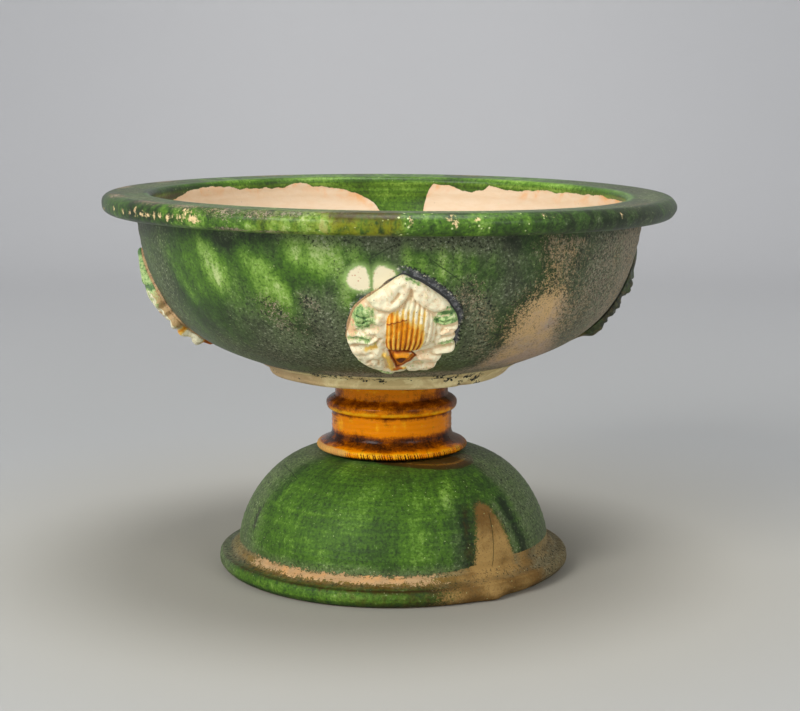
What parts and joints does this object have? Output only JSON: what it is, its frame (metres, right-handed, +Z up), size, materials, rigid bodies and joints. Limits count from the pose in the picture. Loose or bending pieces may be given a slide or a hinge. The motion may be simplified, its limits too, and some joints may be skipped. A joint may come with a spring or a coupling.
{
  "type": "stem bowl",
  "caption": "Wide round bowl with a rolled rim and pressed medallions, on a turned stem and a hollow domed foot, for offering or showing food or flowers.",
  "frame": {"origin": "under the middle of the rim, on the surface that the bowl stands on", "axes": "+Z up along the turning axis, -Y towards the front medallion, +X to the right seen from the front"},
  "size_m": [0.25, 0.25, 0.1666],
  "materials": {
    "green_glaze": "glossy lead glaze, mottled, worn dull in places",
    "amber_glaze": "glossy amber lead glaze, brown where it pools",
    "pale_glaze": "thin matt straw glaze with dark specks",
    "cream_glaze": "satin cream glaze with green and amber touches",
    "clay_slip": "matt fired clay"
  },
  "bodies": {
    "root": {"bowl": "green_glaze", "bowl_disc": "pale_glaze", "stem": "amber_glaze", "foot_dome": "green_glaze", "medallion_front": "cream_glaze", "medallion_right": "cream_glaze", "medallion_back": "cream_glaze", "medallion_left": "cream_glaze", "slip_bowl_to_disc": "clay_slip", "slip_disc_to_stem": "clay_slip", "slip_stem_to_foot": "clay_slip", "slip_medallion_front": "clay_slip", "slip_medallion_right": "clay_slip", "slip_medallion_back": "clay_slip", "slip_medallion_left": "clay_slip"}
  },
  "joints": []
}
